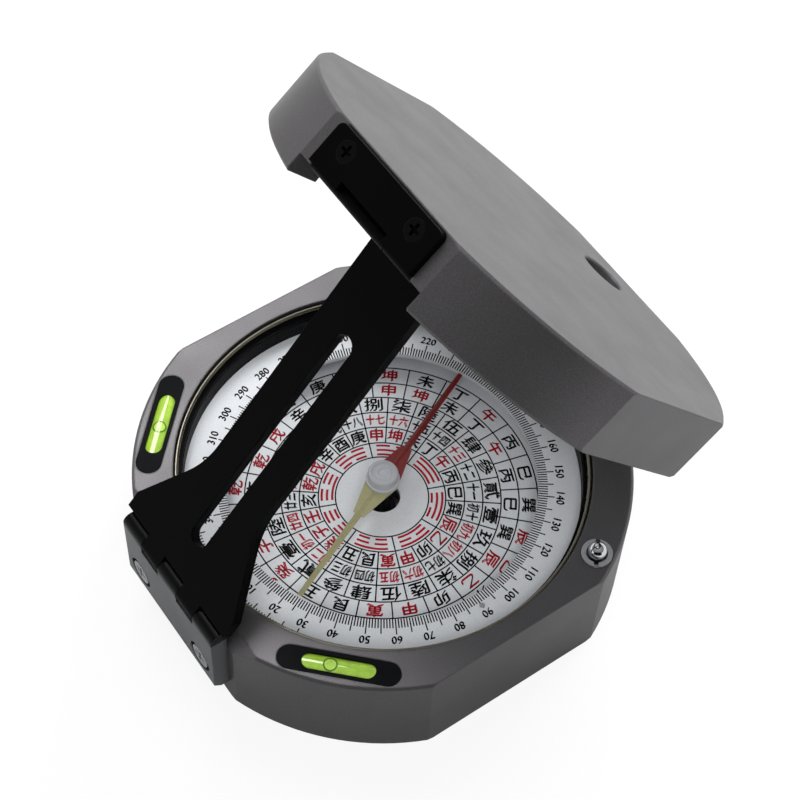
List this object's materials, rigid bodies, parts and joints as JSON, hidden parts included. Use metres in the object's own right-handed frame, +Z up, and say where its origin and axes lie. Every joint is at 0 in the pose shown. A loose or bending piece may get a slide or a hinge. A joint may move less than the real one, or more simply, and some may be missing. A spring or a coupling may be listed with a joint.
{
  "type": "feng shui compass",
  "caption": "Pocket direction-finding compass in an octagonal-round metal case, with a hinged mirror lid, a slotted folding sight, two level vials and a needle lock.",
  "frame": {"origin": "centre of the flat base", "axes": "+Z up, +Y towards the long sight's hinge and the dial's zero"},
  "size_m": [0.0708, 0.0856, 0.0874],
  "materials": {
    "grey_aluminium": "bead-blasted grey anodised",
    "black_aluminium": "satin black anodised",
    "black_plastic": "matte",
    "dial_white": "off-white with printed scales",
    "clear_glass": "clear",
    "green_vial": "clear green",
    "mirror_glass": "silvered",
    "steel": "plain",
    "black_steel": "blackened",
    "chrome": "polished",
    "brass": "plain",
    "polished_aluminium": "turned",
    "needle_paint": "red and cream halves",
    "rubber": "matte",
    "jewel": "polished"
  },
  "bodies": {
    "case": {"body_case": "grey_aluminium", "base_cover": "grey_aluminium", "cover_screws": "steel", "dial_plate": "dial_white", "graduated_ring": "dial_white", "spacer_ring": "black_aluminium", "glass_gasket": "rubber", "dial_glass": "clear_glass", "snap_ring": "steel", "pivot_post": "brass", "fulcrum_pin": "steel", "return_spring": "steel", "lock_bush": "steel", "vial_holder_left": "black_plastic", "vial_holder_front": "black_plastic", "vial_left": "green_vial", "vial_front": "green_vial", "sight_hinge_plate": "black_aluminium", "sight_plate_screws": "black_steel", "sight_hinge_pin": "steel", "lid_hinge_base": "black_aluminium", "lid_base_screws": "black_steel", "lid_hinge_pin": "steel"},
    "long_sight": {"long_sight": "black_aluminium"},
    "lid": {"lid_shell": "grey_aluminium", "lid_mirror": "mirror_glass", "lid_hinge_leaf": "black_aluminium", "lid_leaf_screws": "black_steel", "short_sight_plate": "black_aluminium", "short_plate_screws": "black_steel", "short_sight_pin": "steel"},
    "short_sight": {"short_sight": "black_aluminium"},
    "lock_pin": {"lock_pin": "chrome"},
    "lift_lever": {"lift_lever": "steel"},
    "lift_collar": {"lift_collar": "brass"},
    "needle": {"needle_blade": "needle_paint", "needle_cap": "polished_aluminium", "needle_jewel": "jewel"}
  },
  "joints": [
    {"name": "long_sight_fold", "type": "hinge", "parent": "case", "child": "long_sight", "pos_m": [0, 0.03745, 0.01955], "axis": [-1, 0, 0], "range_deg": [-49.24, 130.76]},
    {"name": "lid_fold", "type": "hinge", "parent": "case", "child": "lid", "pos_m": [0, -0.0423, 0.0197], "axis": [1, 0, 0], "range_deg": [0, 84]},
    {"name": "short_sight_fold", "type": "hinge", "parent": "lid", "child": "short_sight", "pos_m": [0, 0.00452, 0.08114], "axis": [1, 0, 0], "range_deg": [0, 180]},
    {"name": "lock_pin_press", "type": "slide", "parent": "case", "child": "lock_pin", "axis": [0, 0, -1], "range_m": [0, 0.00229], "stiffness_N_per_m": 300, "springref_m": -0.002, "deforming": ["return_spring"]},
    {"name": "lift_lever_tilt", "type": "hinge", "parent": "case", "child": "lift_lever", "pos_m": [-0.00558, -0.00314, 0.0041], "axis": [0.4909, -0.8712, 0], "range_deg": [0, 4.5]},
    {"name": "needle_lift", "type": "slide", "parent": "case", "child": "lift_collar", "axis": [0, 0, 1], "range_m": [0, 0.0005]},
    {"name": "needle_spin", "type": "hinge", "parent": "lift_collar", "child": "needle", "pos_m": [0, 0, 0.0132], "axis": [0, 0, 1], "continuous": true}
  ],
  "couplings": [
    {"joint": "lift_lever_tilt", "follows": "lock_pin_press", "rad_per_m": 34.072},
    {"joint": "needle_lift", "follows": "lock_pin_press", "ratio": 0.21806}
  ]
}
